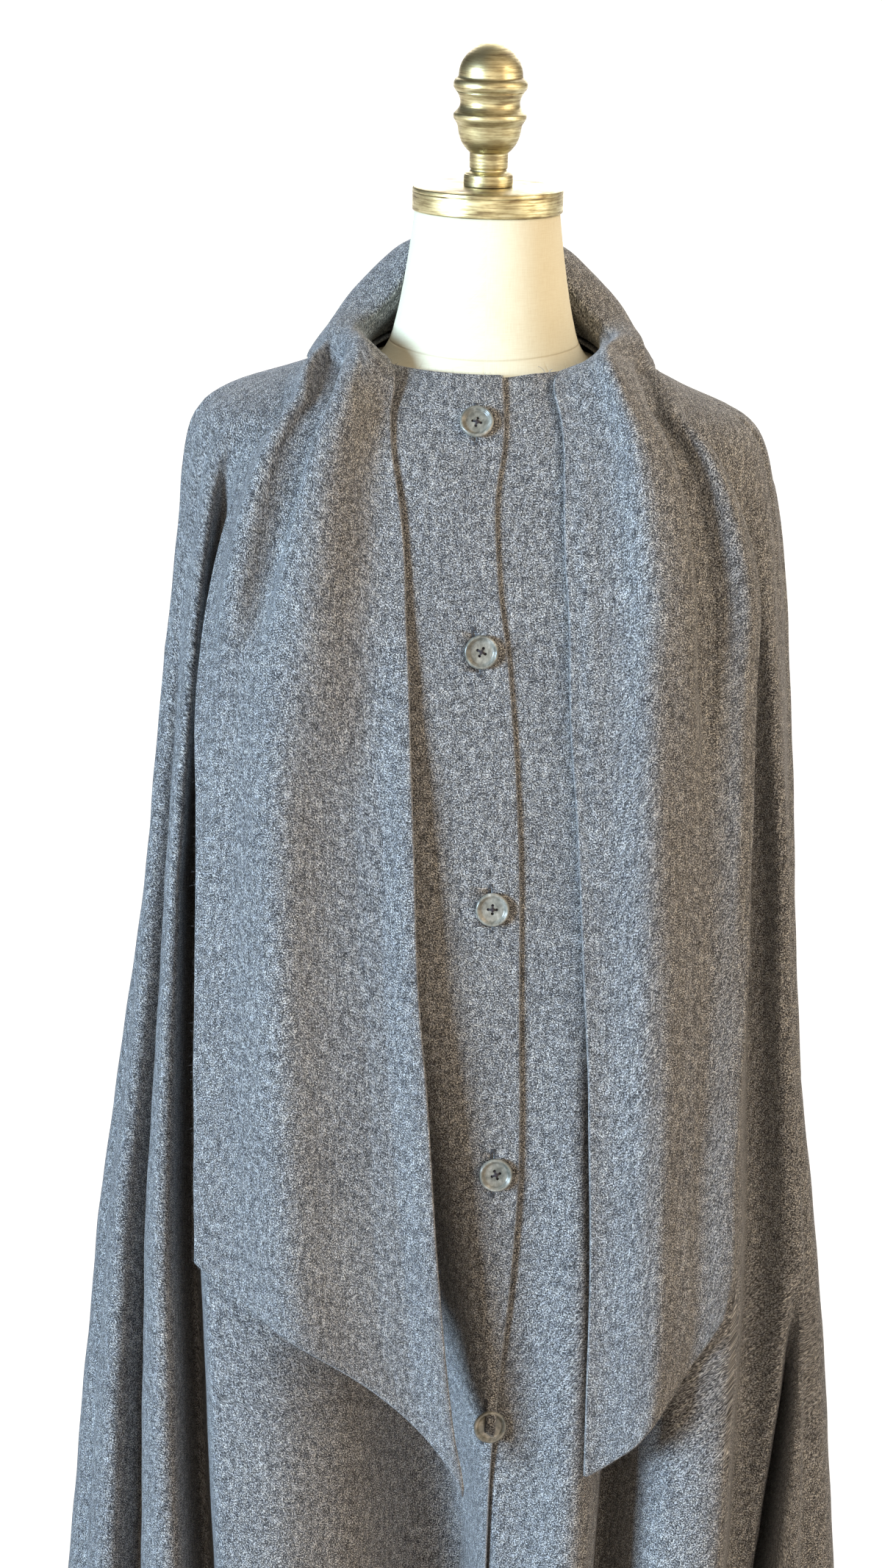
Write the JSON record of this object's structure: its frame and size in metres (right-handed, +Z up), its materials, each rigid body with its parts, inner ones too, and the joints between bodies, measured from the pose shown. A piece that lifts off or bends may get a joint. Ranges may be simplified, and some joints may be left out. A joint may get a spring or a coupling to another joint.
{
  "type": "wool cape coat on a limbless dress form",
  "caption": "Long draped cape coat with a scarf collar whose two ends hang down the front, buttoned, standing on a limbless dress form with a finial, a pole and a round foot.",
  "frame": {"origin": "on the floor, in the middle of the foot's underside, on the pole's axis", "axes": "+Z up along the pole, -Y the way the coat's front faces, +X to the wearer's left"},
  "size_m": [0.5686, 0.4107, 1.6113],
  "materials": {
    "coat_wool": "charcoal melange wool, brushed, matte",
    "scarf_wool": "charcoal melange wool, brushed, matte",
    "horn": "grey-olive horn with pale streaks, satin",
    "linen": "natural linen cover, plain weave, matte",
    "antique_brass": "streaky antique brass, brushed",
    "dark_metal": "black painted steel, satin"
  },
  "bodies": {
    "root": {"front_right": "coat_wool", "front_left": "coat_wool", "back": "coat_wool", "scarf_right": "scarf_wool", "scarf_left": "scarf_wool", "button_1": "horn", "button_2": "horn", "button_3": "horn", "button_4": "horn", "button_5": "horn", "form_torso": "linen", "neck_cap": "antique_brass", "finial": "antique_brass", "pole": "dark_metal", "foot": "dark_metal"}
  },
  "joints": []
}
